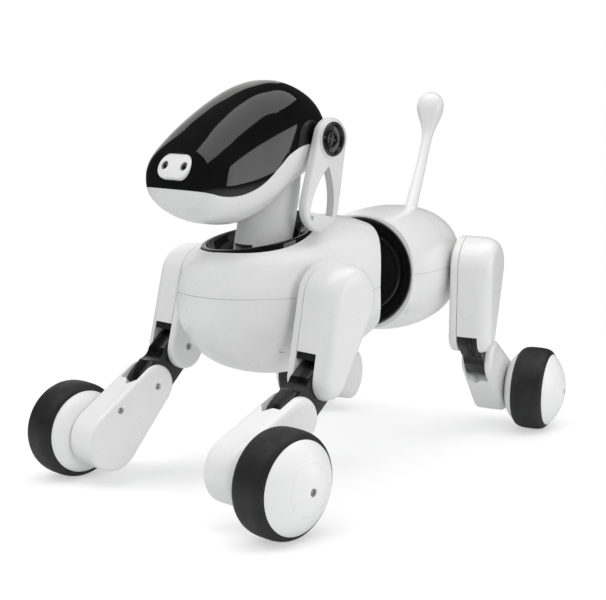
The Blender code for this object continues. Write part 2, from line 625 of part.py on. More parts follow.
def make_wheel(word, side, frame):
    mid = WHEEL_Y - LEG_Y
    tread = [(RIM_R, mid - TYRE_HALF), (28.2, mid - 10.4), (29.4, mid - 8.0), (WHEEL_R, mid - 4.0),
             (WHEEL_R, mid + 4.0), (29.4, mid + 8.0), (28.2, mid + 10.4), (RIM_R, mid + TYRE_HALF),
             (23.5, mid + TYRE_HALF - 2), (23.5, mid - TYRE_HALF + 2)]
    tyre = turned_ring(tread, "Y", (0, 0, 0), WHEEL_SIDES)
    make_object("tyre_" + word, mirror_side(tyre, side), material("tyre_mat_" + word, (0.02, 0.02, 0.02), 0.75), frame)
    hub = [(3.3, 6.0), (3.3, SHIN_OUT + 0.6), (13.5, SHIN_OUT + 0.6), (14.5, mid - TYRE_HALF - 2),
           (RIM_R - 0.9, mid - TYRE_HALF - 0.2), (23.2, mid - TYRE_HALF + 1.7), (23.2, mid + TYRE_HALF - 1.7),
           (RIM_R - 0.4, mid + TYRE_HALF + 0.2)]
    sphere_r = (RIM_R ** 2 + DOME ** 2) / (2 * DOME)
    for k in range(3, 0, -1):
        r = RIM_R * k / 4
        hub.append((r, mid + TYRE_HALF + DOME - sphere_r + sqrt(sphere_r ** 2 - r ** 2)))
    make_object("wheel_hub_" + word, mirror_side(turned(hub, "Y", (0, 0, 0), WHEEL_SIDES), side),
                white("wheel_hub_" + word), frame)


# ---------------------------------------------------------------- assembly
def rear_height(x, side):
    """Axle height of a hind wheel, whose place across the body depends on the waist yaw."""
    yaw = radians(WAIST_YAW)
    return axle_height((x - WAIST_X) * sin(yaw) + side * WHEEL_Y * cos(yaw))


def centre_on_floor(stand):
    """Move everything so that the middle of the footprint's box, on the floor, is the origin."""
    bpy.context.view_layer.update()
    graph = bpy.context.evaluated_depsgraph_get()
    corners = []
    for obj in bpy.data.objects:
        if obj.type == "MESH" and not obj.hide_render:
            solid = obj.evaluated_get(graph)
            corners += [obj.matrix_world @ v.co for v in solid.data.vertices]
    lows = [min(c[i] for c in corners) for i in range(3)]
    highs = [max(c[i] for c in corners) for i in range(3)]
    stand.location = (-(lows[0] + highs[0]) / 2, -(lows[1] + highs[1]) / 2, -lows[2])


def build():
    for obj in list(bpy.data.objects):
        bpy.data.objects.remove(obj, do_unlink=True)
    stand = make_empty("stand")
    root = make_empty("chest", (0, BODY_SHIFT, 0), (BODY_ROLL, 0, 0), stand)
    yaw = radians(WAIST_YAW)
    shift = (WAIST_X - WAIST_X * cos(yaw), -WAIST_X * sin(yaw), 0)
    rear = make_empty("rear", shift, (0, 0, WAIST_YAW), root)
    make_chest(root)
    make_rear(rear)
    make_tail(rear)
    make_head(make_neck(root))
    for word, side, axle_x, shin_angle, knee_side in (("front_left", 1, 139.5, 57.0, 1),
                                                      ("front_right", -1, 136.0, 48.0, 1)):
        axle = (axle_x, axle_height(side * WHEEL_Y))
        make_leg(word, side, HIP_FRONT, axle, shin_angle, knee_side, root)
    for word, side in (("rear_left", 1), ("rear_right", -1)):
        axle = (-153.8, rear_height(-153.8, side))
        make_leg(word, side, HIP_REAR, axle, -55.0, -1, rear)
    centre_on_floor(stand)


build()
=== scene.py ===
"""Looks of the robot dog: finer shells, screws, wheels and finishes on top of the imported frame.

Shapes are drawn in millimetres in the local frame of the body they belong to. Each local frame is
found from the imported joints, so every piece sits on its own CAD body.
"""
import json
from math import acos, cos, pi, radians, sin, sqrt

import bmesh
import bpy
from mathutils import Matrix, Vector


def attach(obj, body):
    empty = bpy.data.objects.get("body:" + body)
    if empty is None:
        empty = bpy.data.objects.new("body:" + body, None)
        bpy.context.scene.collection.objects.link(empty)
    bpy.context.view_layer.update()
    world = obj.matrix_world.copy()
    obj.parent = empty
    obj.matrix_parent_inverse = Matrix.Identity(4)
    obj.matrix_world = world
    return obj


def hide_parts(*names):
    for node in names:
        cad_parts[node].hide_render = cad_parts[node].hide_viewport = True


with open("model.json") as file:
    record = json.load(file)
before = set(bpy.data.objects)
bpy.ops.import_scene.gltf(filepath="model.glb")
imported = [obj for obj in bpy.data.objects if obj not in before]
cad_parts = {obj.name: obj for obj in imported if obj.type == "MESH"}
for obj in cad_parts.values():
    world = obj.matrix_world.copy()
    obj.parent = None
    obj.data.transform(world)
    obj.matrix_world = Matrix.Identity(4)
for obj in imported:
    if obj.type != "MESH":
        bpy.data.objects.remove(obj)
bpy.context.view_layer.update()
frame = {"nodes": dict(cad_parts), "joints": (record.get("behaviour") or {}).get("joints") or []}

MM = 0.001
FINE = 112                   # points round a shell section

# the same driving sizes as the CAD part, in millimetres
GAP = 0.3                    # clearance between neighbouring pieces
WALL = 2.2                   # moulded shell thickness
WAIST_X, WAIST_Z, WAIST_R = -20.0, 123.0, 38.0
FRONT_SEAM_Z, REAR_SEAM_Z = 120.5, 124.0
HIP_FRONT, HIP_REAR = (64.0, 121.5), (-100.0, 124.5)
THIGH, LINK, SHIN = 47.2, 31.0, 43.5
HIP_R, KNEE_R, ANKLE_R, AXLE_R = 21.0, 12.8, 13.4, 19.3
LEG_IN, LEG_OUT = -14.3, 14.5              # faces of the thigh, outward positive
SLOT_IN, SLOT_OUT = -8.5, 6.5              # the gap that the knee link fills
SHIN_IN, SHIN_OUT = -11.2, 11.4
SHIN_SILL = -7.6             # bottom of the shin's slot, from the ankle
HUB_MID = 31.2               # wheel's middle plane, measured from the leg's middle plane
WHEEL_R, TYRE_HALF, RIM_R, DOME = 29.9, 11.3, 26.2, 11.0
EAR_LEAN = 11.0              # degrees
NECK_RISE = Vector((-14.5, 0.0, 49.0))      # from the neck's pivot to the head's
NOSE_AT, NOSE_TILT = Vector((82.4, 0.0, 4.4)), 27.0     # from the head's pivot, in degrees
HEAD_SHIFT = (-54.0, 0.0, -191.0)           # from the body's frame to the head's pivot
EYE_Y = 8.0
COLLAR_X, COLLAR_A, COLLAR_B = 68.5, 40.0, 28.5
BUTTON_X, BUTTON_R, PORT_X = -118.0, 5.5, -96.0

# joint between visor and jaw: x, z
JAW_LINE = [(20, 210), (57, 209), (73, 204), (82, 197), (92, 188.5), (101, 183.5), (113, 180.3),
            (126, 180), (137, 182.5), (150, 184)]

# egg-like shells: x, lowest z, highest z, half width
CHEST = [(-20, 87.3, 158.7, 35.5), (-6, 80.5, 162.0, 40.0), (12, 74.5, 163.8, 42.8),
         (35, 69.8, 163.0, 43.9), (60, 68.3, 160.0, 43.8), (82, 71.8, 155.5, 40.2),
         (98, 78.5, 150.5, 34.0), (110, 88, 144.5, 26.5), (117, 98, 138.5, 18.5),
         (120, 108, 131, 10.0), (120.8, 114, 125, 5.0), (121, 118.8, 120.2, 0.8)]
REAR = [(-31.5, 85, 161, 38.0), (-48, 82.3, 162.3, 41.3), (-68, 79.8, 163.6, 43.4),
        (-90, 78.8, 164.4, 43.9), (-112, 80.3, 163.2, 43.4), (-130, 85.8, 158.8, 38.5),
        (-142, 94, 151.8, 31.0), (-149, 103.3, 144.6, 21.5), (-152, 112, 136.3, 12.0),
        (-152.9, 118, 130.3, 6.0), (-153.1, 123.4, 124.8, 0.8)]
HEAD = [(23.4, 209, 210.4, 0.8), (23.6, 206.8, 212.6, 4.0), (24.3, 204, 215.4, 8.3),
        (27.3, 200.3, 221.7, 14.3), (34.3, 195, 229.9, 21.4),
        (46.3, 189.2, 240.1, 27.0), (64.3, 179, 245.7, 30.0), (81.3, 167.8, 242.5, 30.8),
        (98.3, 162, 234.3, 30.6), (114, 162, 223.6, 30.9), (125, 165, 213.8, 31.0),
        (132.5, 170.0, 205.5, 29.0), (136.3, 176.4, 198.0, 24.0), (137.8, 181.6, 192, 16.0),
        (138.3, 184.5, 189.2, 8.0), (138.5, 186.2, 187.4, 0.8)]

# tail, from its base: x, z, radius
TAIL_BASE = Vector((-127.0, 0.0, 158.5))
TAIL_ROWS = [(5.5, -6.5, 4.8), (-3.5, 7, 4.4), (-14, 23.5, 3.9), (-23.5, 40, 3.6), (-30.3, 54, 4.0),
             (-33, 62, 5.9), (-34.2, 69.5, 8.8), (-34.6, 76.5, 10.0), (-34.6, 82, 8.6),
             (-34.6, 85.3, 5.4), (-34.6, 86.4, 2.2), (-34.6, 86.6, 0.2)]

# legs: name, side (1 is left)
LEGS = [("front_left", 1), ("front_right", -1), ("rear_left", 1), ("rear_right", -1)]


# ---------------------------------------------------------------- local frames from the joints
JOINT = {j["name"]: (Vector(j["pos_m"]), Vector(j["axis"]).normalized()) for j in frame["joints"]}


def axes_at(origin, y_axis, z_axis):
    """Placement matrix with the given origin, Y and (nearly) Z directions."""
    z = (z_axis - y_axis * z_axis.dot(y_axis)).normalized()
    x = y_axis.cross(z)
    made = Matrix((x, y_axis, z)).transposed().to_4x4()
    made.translation = origin
    return made


def body_frames():
    """Local frame of every body, in metres, keyed by the names used below."""
    waist, up = JOINT["waist_yaw"]
    across = JOINT["neck_tilt"][1]
    frames = {"root": axes_at(waist, across, up), "rear": axes_at(waist, -JOINT["hip_rear_left"][1], up)}
    to_design = Matrix.Translation(Vector((-WAIST_X, 0.0, -WAIST_Z)) * MM)
    for name in ("root", "rear"):
        frames[name] = frames[name] @ to_design
    frames["neck"] = axes_at(JOINT["neck_tilt"][0], across, up)
    frames["head"] = axes_at(JOINT["head_nod"][0], across, up)
    frames["tail"] = axes_at(JOINT["tail_wag"][0], -JOINT["hip_rear_left"][1], up)
    frames["button"] = axes_at(JOINT["power_press"][0], -JOINT["hip_rear_left"][1], up)
    for side in ("left", "right"):
        lean = Matrix.Rotation(radians(-EAR_LEAN), 4, "Y")
        frames["ear_" + side] = axes_at(JOINT["ear_swing_" + side][0], across, up) @ lean
    for word, _ in LEGS:
        y_axis = -JOINT["hip_" + word][1]
        chain = [JOINT[j + "_" + word][0] for j in ("hip", "knee", "ankle", "wheel_spin")]
        for key, a, b in (("thigh_", 0, 1), ("link_", 1, 2), ("shin_", 2, 3)):
            frames[key + word] = axes_at(chain[a], y_axis, chain[a] - chain[b])
        frames["wheel_" + word] = axes_at(chain[3], y_axis, up)
    return frames


FRAMES = body_frames()


# ---------------------------------------------------------------- camera, light and floor
def make_camera():
    """Long lens in front of the dog's left shoulder, a little above its back."""
    waist = JOINT["waist_yaw"][0]
    yaw, pitch, roll = -2.39229021, -0.12468592, 0.0025
    ahead = Vector((cos(pitch) * cos(yaw), cos(pitch) * sin(yaw), sin(pitch)))
    right = ahead.cross(Vector((0, 0, 1))).normalized()
    top = right.cross(ahead)
    turned_right = right * cos(roll) + top * sin(roll)
    turned_top = top * cos(roll) - right * sin(roll)
    camera = bpy.data.objects.new("camera", bpy.data.cameras.new("camera"))
    bpy.context.scene.collection.objects.link(camera)
    made = Matrix((turned_right, turned_top, -ahead)).transposed().to_4x4()
    made.translation = waist + Vector((0.6205, 0.5325, 0.0849))
    camera.matrix_world = made
    camera.data.sensor_width = 36.0
    camera.data.lens = 73.99
    camera.data.clip_start, camera.data.clip_end = 0.01, 50.0
    bpy.context.scene.camera = camera


def softbox(name, place, target, size, power, mirrored=True):
    """Rectangular area light facing a target point; glossy pieces show it only when it is mirrored."""
    lamp = bpy.data.lights.new(name, "AREA")
    lamp.shape = "RECTANGLE"
    lamp.size, lamp.size_y = size
    lamp.energy = power
    lamp.color = (1.0, 0.995, 0.985)
    obj = bpy.data.objects.new(name, lamp)
    bpy.context.scene.collection.objects.link(obj)
    obj.location = place
    obj.rotation_euler = (Vector(target) - Vector(place)).to_track_quat("-Z", "Y").to_euler()
    obj.visible_glossy = mirrored
    obj.visible_camera = False
    return obj


def make_studio():
    """Soft boxes, an even pale surround and a pale floor that fades into it."""
    bpy.context.scene.view_settings.view_transform = "Standard"
    world = bpy.data.worlds.new("surround")
    bpy.context.scene.world = world
    world.use_nodes = True
    nodes, links = world.node_tree.nodes, world.node_tree.links
    seen, path = nodes["Background"], nodes.new("ShaderNodeLightPath")
    light, dim = nodes.new("ShaderNodeBackground"), nodes.new("ShaderNodeBackground")
    seen.inputs["Color"].default_value = (1, 1, 1, 1)
    light.inputs["Color"].default_value = (0.97, 0.985, 1.0, 1)
    light.inputs["Strength"].default_value = 0.47
    dim.inputs["Color"].default_value = (0.97, 0.985, 1.0, 1)
    dim.inputs["Strength"].default_value = 0.05
    mirrored, mix = nodes.new("ShaderNodeMixShader"), nodes.new("ShaderNodeMixShader")
    links.new(path.outputs["Is Glossy Ray"], mirrored.inputs["Fac"])
    links.new(light.outputs["Background"], mirrored.inputs[1])
    links.new(dim.outputs["Background"], mirrored.inputs[2])
    links.new(path.outputs["Is Camera Ray"], mix.inputs["Fac"])
    links.new(mirrored.outputs["Shader"], mix.inputs[1])
    links.new(seen.outputs["Background"], mix.inputs[2])
    links.new(mix.outputs["Shader"], nodes["World Output"].inputs["Surface"])
    overhead = softbox("softbox_top", (-0.04, 0.27, 1.5), (-0.04, 0.27, 0.0), (2.8, 1.07), 17)
    overhead.rotation_euler = (0, 0, radians(-33))
    softbox("softbox_left", (0.9, -0.75, 0.95), (0.05, 0, 0.15), (0.4, 1.0), 5.5, False)
    softbox("softbox_right", (0.55, 1.35, 0.55), (0.0, 0, 0.15), (0.45, 0.45), 5.0, False)
    softbox("card_side", (-0.33, 0.57, 0.18), (0.12, 0.05, 0.2), (0.25, 0.27), 0.45)
    softbox("card_back", (-0.7, -1.36, 0.85), (0.12, 0.0, 0.2), (1.3, 1.2), 4.2)
    make_floor()


def make_floor():
    """Pale disc that fades into the surround a little way out from the dog."""
    bm = bmesh.new()
    bmesh.ops.create_circle(bm, cap_ends=True, radius=2.4, segments=96)
    mesh = bpy.data.meshes.new("floor")
    bm.to_mesh(mesh)
    bm.free()
    floor = bpy.data.objects.new("floor", mesh)
    bpy.context.scene.collection.objects.link(floor)
    mat = bpy.data.materials.new("floor_paper")
    mat.use_nodes = True
    nodes, links = mat.node_tree.nodes, mat.node_tree.links
    shader = nodes["Principled BSDF"]
    shader.inputs["Base Color"].default_value = (0.9, 0.9, 0.9, 1)
    shader.inputs["Roughness"].default_value = 0.85
    shader.inputs["Specular IOR Level"].default_value = 0.1
    shader.inputs["Emission Color"].default_value = (1, 1, 1, 1)
    shader.inputs["Emission Strength"].default_value = 0.14
    coords, length = nodes.new("ShaderNodeTexCoord"), nodes.new("ShaderNodeVectorMath")
    fade = nodes.new("ShaderNodeMapRange")
    length.operation = "LENGTH"
    fade.interpolation_type = "SMOOTHSTEP"
    for key, value in (("From Min", 0.3), ("From Max", 0.8), ("To Min", 0.6), ("To Max", 0.0)):
        fade.inputs[key].default_value = value
    links.new(coords.outputs["Object"], length.inputs[0])
    links.new(length.outputs["Value"], fade.inputs["Value"])
    links.new(fade.outputs["Result"], shader.inputs["Alpha"])
    mesh.materials.append(mat)


# ---------------------------------------------------------------- finishes
def noise_node(nodes, links, coords, scale, detail=3.0):
    """Noise that is fixed to the piece."""
    node = nodes.new("ShaderNodeTexNoise")
    node.inputs["Scale"].default_value = scale
    node.inputs["Detail"].default_value = detail
    links.new(coords.outputs["Object"], node.inputs["Vector"])
    return node


def remap(nodes, links, source, low, high, from_low=0.3, from_high=0.7):
    """Spread the middle of a noise value over a range."""
    node = nodes.new("ShaderNodeMapRange")
    node.inputs["From Min"].default_value = from_low
    node.inputs["From Max"].default_value = from_high
    node.inputs["To Min"].default_value = low
    node.inputs["To Max"].default_value = high
    links.new(source, node.inputs["Value"])
    return node


def finish(name, dark, light, rough, grain, depth, coat=0.0, metallic=0.0, worn=None, blotch=38.0):
    """Surface with slow colour drift, uneven gloss and fine grain, and with worn edges if it has them.

    dark and light are the ends of the colour drift, rough the ends of the roughness, grain the scale
    of the fine bumps and depth their height in metres.
    """
    mat = bpy.data.materials.new(name)
    mat.use_nodes = True
    nodes, links = mat.node_tree.nodes, mat.node_tree.links
    shader = nodes["Principled BSDF"]
    shader.inputs["Metallic"].default_value = metallic
    shader.inputs["Coat Weight"].default_value = coat
    shader.inputs["Coat Roughness"].default_value = 0.06
    coords = nodes.new("ShaderNodeTexCoord")
    drift = noise_node(nodes, links, coords, blotch)
    tint = nodes.new("ShaderNodeMix")
    tint.data_type = "RGBA"
    tint.inputs["A"].default_value = (*dark, 1)
    tint.inputs["B"].default_value = (*light, 1)
    links.new(remap(nodes, links, drift.outputs["Fac"], 0.0, 1.0).outputs["Result"], tint.inputs["Factor"])
    colour = tint.outputs["Result"]
    if worn:
        edge = nodes.new("ShaderNodeMix")
        edge.data_type = "RGBA"
        shape = nodes.new("ShaderNodeNewGeometry")
        lit = remap(nodes, links, shape.outputs["Pointiness"], 0.0, 0.5, 0.54, 0.66)
        links.new(lit.outputs["Result"], edge.inputs["Factor"])
        links.new(colour, edge.inputs["A"])
        edge.inputs["B"].default_value = (*worn, 1)
        colour = edge.outputs["Result"]
    links.new(colour, shader.inputs["Base Color"])
    gloss = noise_node(nodes, links, coords, 170.0, 4.0)
    links.new(remap(nodes, links, gloss.outputs["Fac"], *rough).outputs["Result"], shader.inputs["Roughness"])
    fine = noise_node(nodes, links, coords, grain, 2.0)
    bump = nodes.new("ShaderNodeBump")
    bump.inputs["Strength"].default_value = 1.0
    bump.inputs["Distance"].default_value = depth
    links.new(fine.outputs["Fac"], bump.inputs["Height"])
    links.new(bump.outputs["Normal"], shader.inputs["Normal"])
    return mat


def make_finishes():
    white = (0.79, 0.792, 0.787), (0.797, 0.799, 0.794)
    return {
        "shell": finish("white_abs", *white, (0.27, 0.31), 900.0, 1.5e-6, coat=0.2),
        "hub": finish("white_hub_abs", (0.83, 0.832, 0.828), (0.836, 0.838, 0.834), (0.34, 0.38),
                      1100.0, 2e-6, coat=0.1),
        # the neck's white is the shell white made darker: painted shade for the neck under the head
        "neck": finish("white_neck_painted_shade", (0.72, 0.722, 0.718), (0.735, 0.737, 0.733), (0.38, 0.44),
                       1400.0, 3e-6),
        # the ears' white is the shell white made darker: painted shade on the ears
        "ear": finish("white_ear_painted_shade", (0.7, 0.702, 0.698), (0.715, 0.717, 0.713), (0.3, 0.36),
                      900.0, 1.5e-6, coat=0.2),
        "gloss": finish("black_visor_gloss", (0.004, 0.004, 0.0045), (0.007, 0.007, 0.0075), (0.03, 0.07),
                        420.0, 1.2e-6),
        "black": finish("black_abs", (0.008, 0.008, 0.0085), (0.014, 0.014, 0.0145), (0.12, 0.22), 900.0,
                        4e-6, worn=(0.025, 0.025, 0.026)),
        "satin": finish("black_link_nylon", (0.003, 0.003, 0.0033), (0.006, 0.006, 0.0063), (0.2, 0.3),
                        1500.0, 8e-6, worn=(0.012, 0.012, 0.012)),
        "tyre": finish("tyre_rubber_matt", (0.012, 0.012, 0.0125), (0.018, 0.018, 0.0185), (0.5, 0.65),
                       2400.0, 3.5e-5, worn=(0.05, 0.05, 0.05), blotch=90.0),
        "trim": finish("grey_trim", (0.16, 0.16, 0.165), (0.22, 0.22, 0.225), (0.3, 0.42), 1200.0, 8e-6),
        "screw": finish("screw_steel", (0.22, 0.22, 0.22), (0.34, 0.34, 0.335), (0.25, 0.4), 2600.0, 1.5e-5,
                        metallic=1.0, worn=(0.6, 0.6, 0.6)),
        "motor": finish("motor_grey_case", (0.05, 0.05, 0.053), (0.075, 0.075, 0.08), (0.4, 0.55), 1300.0,
                        2e-5, worn=(0.14, 0.14, 0.14)),
        "board": finish("circuit_green_mask", (0.008, 0.09, 0.03), (0.014, 0.13, 0.045), (0.25, 0.4), 300.0,
                        1e-5, coat=0.3, worn=(0.05, 0.2, 0.08)),
        "battery": finish("battery_blue_sleeve", (0.02, 0.05, 0.16), (0.03, 0.07, 0.2), (0.3, 0.45), 600.0,
                          2e-5, coat=0.2, worn=(0.1, 0.14, 0.25)),
        "frame": finish("chassis_black", (0.03, 0.03, 0.03), (0.045, 0.045, 0.045), (0.45, 0.6),
                        1200.0, 2e-5),
        "glass": finish("lens_glass", (0.002, 0.002, 0.003), (0.004, 0.004, 0.006), (0.02, 0.04), 300.0,
                        3e-7, coat=1.0),
    }


# ---------------------------------------------------------------- mesh tools
def loft(rings, closed=False):
    """Solid through rings of equal length; a closed one joins its last ring to its first."""
    bm = bmesh.new()
    made = [[bm.verts.new(p) for p in ring] for ring in rings]
    n = len(made[0])
    pairs = list(zip(made, made[1:]))
    if closed:
        pairs.append((made[-1], made[0]))
    for a, b in pairs:
        for i in range(n):
            j = (i + 1) % n
            bm.faces.new((a[i], a[j], b[j], b[i]))
    if not closed:
        for ring in (made[0], made[-1]):
            bm.faces.new(ring)
    bmesh.ops.recalc_face_normals(bm, faces=bm.faces)
    return bm


def box(x0, x1, y0, y1, z0, z1):
    return loft([[(x, y0, z0), (x, y1, z0), (x, y1, z1), (x, y0, z1)] for x in (x0, x1)])


def turned(profile, axis="Y", centre=(0, 0, 0), count=96, closed=False):
    """Solid of revolution from (radius, distance along the axis) pairs."""
    rings = []
    for radius, along in profile:
        ring = []
        for k in range(count):
            c, s = radius * cos(2 * pi * k / count), radius * sin(2 * pi * k / count)
            local = {"X": (along, c, s), "Y": (c, along, s), "Z": (c, s, along)}[axis]
            ring.append(Vector(local) + Vector(centre))
        rings.append(ring)
    return loft(rings, closed)


def moved(bm, offset=(0, 0, 0), turn=0.0, axis="Y"):
    """Turn a solid about the origin, in degrees, and then shift it."""
    bmesh.ops.rotate(bm, matrix=Matrix.Rotation(radians(turn), 3, axis), verts=bm.verts)
    bmesh.ops.translate(bm, vec=offset, verts=bm.verts)
    return bm


def smooth_rows(rows, steps):
    """Catmull-Rom curve through rows of equal length."""
    rows = [Vector(row) for row in rows]
    ext = [2 * rows[0] - rows[1]] + rows + [2 * rows[-1] - rows[-2]]
    out = []
    for i in range(1, len(ext) - 2):
        p0, p1, p2, p3 = ext[i - 1:i + 3]
        for s in range(steps):
            t = s / steps
            out.append(0.5 * (2 * p1 + (p2 - p0) * t + (2 * p0 - 5 * p1 + 4 * p2 - p3) * t * t
                              + (3 * p1 - p0 - 3 * p2 + p3) * t ** 3))
    out.append(rows[-1])
    return out


def super_ring(x, low, high, half, power, count):
    """Superellipse across the body at x."""
    mid, tall = (low + high) / 2, (high - low) / 2
    ring = []
    for k in range(count):
        c, s = cos(2 * pi * (k + 0.5) / count), sin(2 * pi * (k + 0.5) / count)
        y = half * (abs(c) ** (2 / power)) * (1 if c > 0 else -1)
        z = tall * (abs(s) ** (2 / power)) * (1 if s > 0 else -1)
        ring.append((x, y, mid + z))
    return ring


def egg(stations, inset=0.0, steps=8, power=2.3, count=FINE):
    """Shell body through its stations; an inset one drops the tiny end stations."""
    if inset:
        stations = [s for s in stations if s[3] > 7]
    centre = (stations[0][0] + stations[-1][0]) / 2
    half_length = abs(stations[0][0] - stations[-1][0]) / 2
    shrink = (half_length - inset) / half_length
    rings = []
    for x, low, high, half in smooth_rows(stations, steps):
        middle, tall = (low + high) / 2, max((high - low) / 2 - inset, 0.5)
        rings.append(super_ring(centre + (x - centre) * shrink, middle - tall, middle + tall,
                                max(half - inset, 0.5), power, count))
    return loft(rings)


def two_circle_outline(r_top, r_low, length, inset=0.0, steps=30):
    """Outline (x, z) round a circle at 0 and one at -length."""
    r0, r1 = r_top - inset, r_low - inset
    lean = acos((r_low - r_top) / length) - pi / 2
    points = []
    for k in range(steps + 1):
        a = -lean + (pi + 2 * lean) * k / steps
        points.append((r0 * cos(a), r0 * sin(a)))
    for k in range(steps + 1):
        a = pi + lean + (pi - 2 * lean) * k / steps
        points.append((r1 * cos(a), -length + r1 * sin(a)))
    return points


def leg_slab(r_top, r_low, length, layers, steps=30):
    """Solid across the leg from (y, inset) layers."""
    rings = []
    for y, inset in layers:
        rings.append([(x, y, z) for x, z in two_circle_outline(r_top, r_low, length, inset, steps)])
    return loft(rings)


def rounded(start, end, inset, power=2.3, count=9):
    """(y, inset) layers of an edge that rounds over from a full outline at start to its face at end."""
    layers = []
    for k in range(count + 1):
        t = sin(pi / 2 * k / count)
        layers.append((start + (end - start) * t, inset * (1 - (1 - t ** power) ** (1 / power))))
    return layers


def carve(bm, *cuts):
    """Apply (operation, helper solid) cuts to a solid and return the result."""
    made = []
    for solid in (bm, *[tool for _, tool in cuts]):
        bmesh.ops.recalc_face_normals(solid, faces=solid.faces)
        mesh = bpy.data.meshes.new("work")
        solid.to_mesh(mesh)
        solid.free()
        obj = bpy.data.objects.new("work", mesh)
        bpy.context.scene.collection.objects.link(obj)
        made.append(obj)
    for (operation, _), tool in zip(cuts, made[1:]):
        mod = made[0].modifiers.new("cut", "BOOLEAN")
        mod.operation = operation
        mod.solver = "EXACT"
        mod.object = tool
    bpy.context.view_layer.update()
    graph = bpy.context.evaluated_depsgraph_get()
    mesh = bpy.data.meshes.new_from_object(made[0].evaluated_get(graph))
    out = bmesh.new()
    out.from_mesh(mesh)
    bpy.data.meshes.remove(mesh)
    for obj in made:
        bpy.data.meshes.remove(obj.data)
    return out


def cut(tool):
    return ("DIFFERENCE", tool)


def keep(tool):
    return ("INTERSECT", tool)


def join(tool):
    return ("UNION", tool)


def piece(name, bm, place, mat, body, nodes=(), side=1, angle=32):
    """Turn a millimetre bmesh into a finished piece that rides on a body; side -1 mirrors it."""
    if side < 0:
        bmesh.ops.scale(bm, vec=(1, -1, 1), verts=bm.verts)
    bmesh.ops.remove_doubles(bm, verts=bm.verts, dist=2e-3)
    bmesh.ops.dissolve_degenerate(bm, edges=bm.edges, dist=1e-3)
    bmesh.ops.recalc_face_normals(bm, faces=bm.faces)
    bmesh.ops.scale(bm, vec=(MM, MM, MM), verts=bm.verts)
    bmesh.ops.transform(bm, matrix=FRAMES[place], verts=bm.verts)
    mesh = bpy.data.meshes.new(name)
    bm.to_mesh(mesh)
    bm.free()
    mesh.shade_smooth()
    mesh.set_sharp_from_angle(angle=radians(angle))
    mesh.materials.append(FINISH[mat])
    obj = bpy.data.objects.new(name, mesh)
    bpy.context.scene.collection.objects.link(obj)
    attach(obj, body)
    if nodes:
        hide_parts(*nodes)
    return obj


def screw(name, place, body, centre, axis, side=1, radius=1.7):
    """Cap screw with a hex socket; its axis points out of the face it sits in."""
    rings = []
    for r, depth, sides in ((radius, -1.6, 0), (radius, -0.25, 0), (radius - 0.25, 0.0, 0),
                            (radius * 0.58, 0.0, 6), (radius * 0.52, -0.15, 6), (radius * 0.52, -1.0, 6)):
        ring = []
        for k in range(24):
            a = 2 * pi * k / 24
            reach = r
            if sides:
                reach = r / cos((a % (pi / 3)) - pi / 6) * cos(pi / 6)
            ring.append(Vector((reach * cos(a), reach * sin(a), depth)))
        rings.append(ring)
    bm = loft(rings)
    turn = Vector((0, 0, 1)).rotation_difference(Vector(axis)).to_matrix()
    bmesh.ops.rotate(bm, matrix=turn, verts=bm.verts)
    bmesh.ops.translate(bm, vec=centre, verts=bm.verts)
    return piece(name, bm, place, "screw", body, (), side, 25)


# ---------------------------------------------------------------- front body
def hip_bore(hip):
    """Hole for the two hip shafts."""
    return turned([(5.0, -60), (5.0, 60)], "Y", (hip[0], 0, hip[1]), 32)


def split_shell(names, outer, cuts, seam_z, place, body, nodes, extra=((), ())):
    """Upper and lower half of one hollow shell, with extra cuts of each half's own.

    A tongue just inside the joint line keeps it shallow.
    """
    tongue_half, tongue_scale = 1.2, (0.993, 0.99, 1.0)
    hollow = carve(outer, *cuts)
    for name, node, low, high, more in ((names[0], nodes[0], seam_z + GAP / 2, 300, extra[0]),
                                        (names[1], nodes[1], 0, seam_z - GAP / 2, extra[1])):
        half = carve(hollow.copy(), keep(box(-250, 250, -90, 90, low, high)), *more)
        piece(name, half, place, "shell", body, (node,))
    band = box(-250, 250, -90, 90, seam_z - tongue_half, seam_z + tongue_half)
    tongue = carve(hollow.copy(), keep(band))
    ends = [v.co.x for v in hollow.verts]
    middle = Matrix.Translation((-(min(ends) + max(ends)) / 2, 0, 0))
    bmesh.ops.scale(tongue, vec=tongue_scale, space=middle, verts=tongue.verts)
    piece(names[0].replace("upper", "seam_tongue"), tongue, place, "shell", body)
    hollow.free()


def along(start, direction, reach, radius, count=32):
    """Round bar from a start point along a direction."""
    bm = turned([(radius, 0), (radius, reach)], "Z", (0, 0, 0), count)
    turn = Vector((0, 0, 1)).rotation_difference(Vector(direction)).to_matrix()
    bmesh.ops.rotate(bm, matrix=turn, verts=bm.verts)
    bmesh.ops.translate(bm, vec=start, verts=bm.verts)
    return bm


def collar_ellipse(inset, z=None, count=144):
    """Ring round the neck, following the slope of the back unless a height is given."""
    ring = []
    for k in range(count):
        a = 2 * pi * k / count
        x = COLLAR_X + (COLLAR_A - inset) * cos(a)
        y = (COLLAR_B - inset) * sin(a)
        back = max(0.0, -cos(a)) ** 4
        height = 145.2 + 0.165 * (108 - x) + 7.5 * back if z is None else z
        ring.append(Vector((x, y, height)))
    return ring


